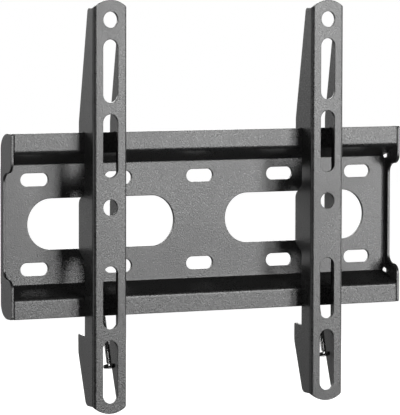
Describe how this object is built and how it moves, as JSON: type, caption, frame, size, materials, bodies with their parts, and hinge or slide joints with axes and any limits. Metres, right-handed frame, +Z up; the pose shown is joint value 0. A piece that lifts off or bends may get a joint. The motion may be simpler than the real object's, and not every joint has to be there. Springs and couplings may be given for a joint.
{
  "type": "fixed tv wall bracket",
  "caption": "Fixed television wall bracket: black folded steel wall plate with slots, two slotted channel arms hooked over it and a lock screw in each arm.",
  "frame": {"origin": "the middle of the wall plate's back face, which lies on the wall, halfway between the two rows of slots", "axes": "+X to the right as seen by a person who faces the wall, +Y into the wall, +Z up"},
  "size_m": [0.24, 0.026, 0.221],
  "materials": {
    "black_coat": "matt, fine sand texture",
    "black_screw": "gloss"
  },
  "bodies": {
    "plate": {"wall_plate": "black_coat"},
    "left_arm": {"left_arm": "black_coat"},
    "right_arm": {"right_arm": "black_coat"},
    "left_screw": {"left_lock_screw": "black_screw"},
    "right_screw": {"right_lock_screw": "black_screw"}
  },
  "joints": [
    {"name": "left_arm_slide", "type": "slide", "parent": "plate", "child": "left_arm", "axis": [1, 0, 0], "range_m": [-0.041, 0.056]},
    {"name": "right_arm_slide", "type": "slide", "parent": "plate", "child": "right_arm", "axis": [1, 0, 0], "range_m": [-0.056, 0.041]},
    {"name": "left_screw_travel", "type": "slide", "parent": "left_arm", "child": "left_screw", "axis": [0, 0.2756, 0.9613], "range_m": [-0.008, 0.011]},
    {"name": "right_screw_travel", "type": "slide", "parent": "right_arm", "child": "right_screw", "axis": [0, 0.2756, 0.9613], "range_m": [-0.008, 0.011]}
  ]
}
